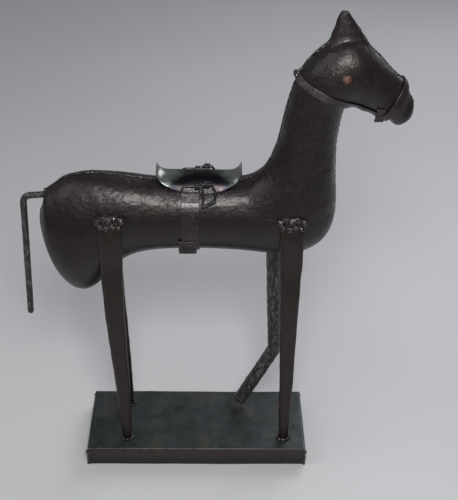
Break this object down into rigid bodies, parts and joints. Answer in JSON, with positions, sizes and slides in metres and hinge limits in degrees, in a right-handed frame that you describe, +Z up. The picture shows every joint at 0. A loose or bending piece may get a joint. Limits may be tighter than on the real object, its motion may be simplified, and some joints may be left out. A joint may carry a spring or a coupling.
{
  "type": "sheet steel horse figure",
  "caption": "Welded hollow sheet-steel horse with saddle, girth, bridle and swinging stirrups, standing with one foreleg raised on a folded sheet base.",
  "frame": {"origin": "on the floor, at the centre of the base's underside", "axes": "+X forward to the nose, +Y to the horse's left, +Z up"},
  "size_m": [0.3424, 0.0868, 0.466],
  "materials": {
    "body_steel": "hammered sheet under glossy black-brown varnish",
    "leg_steel": "smooth rolled sheet under dark brown varnish",
    "bar_steel": "rough forged bar under varnish",
    "base_steel": "mottled blue-green heat patina, varnished",
    "weld_metal": "lumpy weld metal under varnish",
    "saddle_steel": "polished sheet, lacquered",
    "strap_steel": "flat strip under dark varnish",
    "tack_steel": "dark drawn wire",
    "eye_rust": "rust-brown weld dot"
  },
  "bodies": {
    "figure": {"right_trunk_shell": "body_steel", "left_trunk_shell": "body_steel", "right_neck_shell": "body_steel", "left_neck_shell": "body_steel", "right_head_shell": "body_steel", "left_head_shell": "body_steel", "right_ear": "body_steel", "left_ear": "body_steel", "tail_rod": "bar_steel", "left_front_leg": "bar_steel", "right_hind_leg": "leg_steel", "left_hind_leg": "leg_steel", "right_front_leg": "leg_steel", "base_pan": "base_steel", "base_corner_welds": "weld_metal", "tail_weld": "weld_metal", "leg_top_welds": "weld_metal", "foot_welds": "weld_metal", "saddle_welds": "weld_metal", "crest_weld": "weld_metal", "seam_weld": "weld_metal", "saddle": "saddle_steel", "girth_strap": "strap_steel", "girth_lap": "strap_steel", "noseband": "strap_steel", "noseband_lap": "strap_steel", "reins": "strap_steel", "right_girth_ring": "tack_steel", "left_girth_ring": "tack_steel", "right_stirrup_eye": "tack_steel", "left_stirrup_eye": "tack_steel", "right_eye": "eye_rust", "left_eye": "eye_rust"},
    "right_stirrup_body": {"right_stirrup": "tack_steel"},
    "left_stirrup_body": {"left_stirrup": "tack_steel"}
  },
  "joints": [
    {"name": "right_stirrup_swing", "type": "hinge", "parent": "figure", "child": "right_stirrup_body", "pos_m": [0.0098, -0.01571, 0.31815], "axis": [-1, 0, 0], "range_deg": [0, 140]},
    {"name": "left_stirrup_swing", "type": "hinge", "parent": "figure", "child": "left_stirrup_body", "pos_m": [0.0098, 0.01571, 0.31815], "axis": [1, 0, 0], "range_deg": [0, 140]}
  ]
}
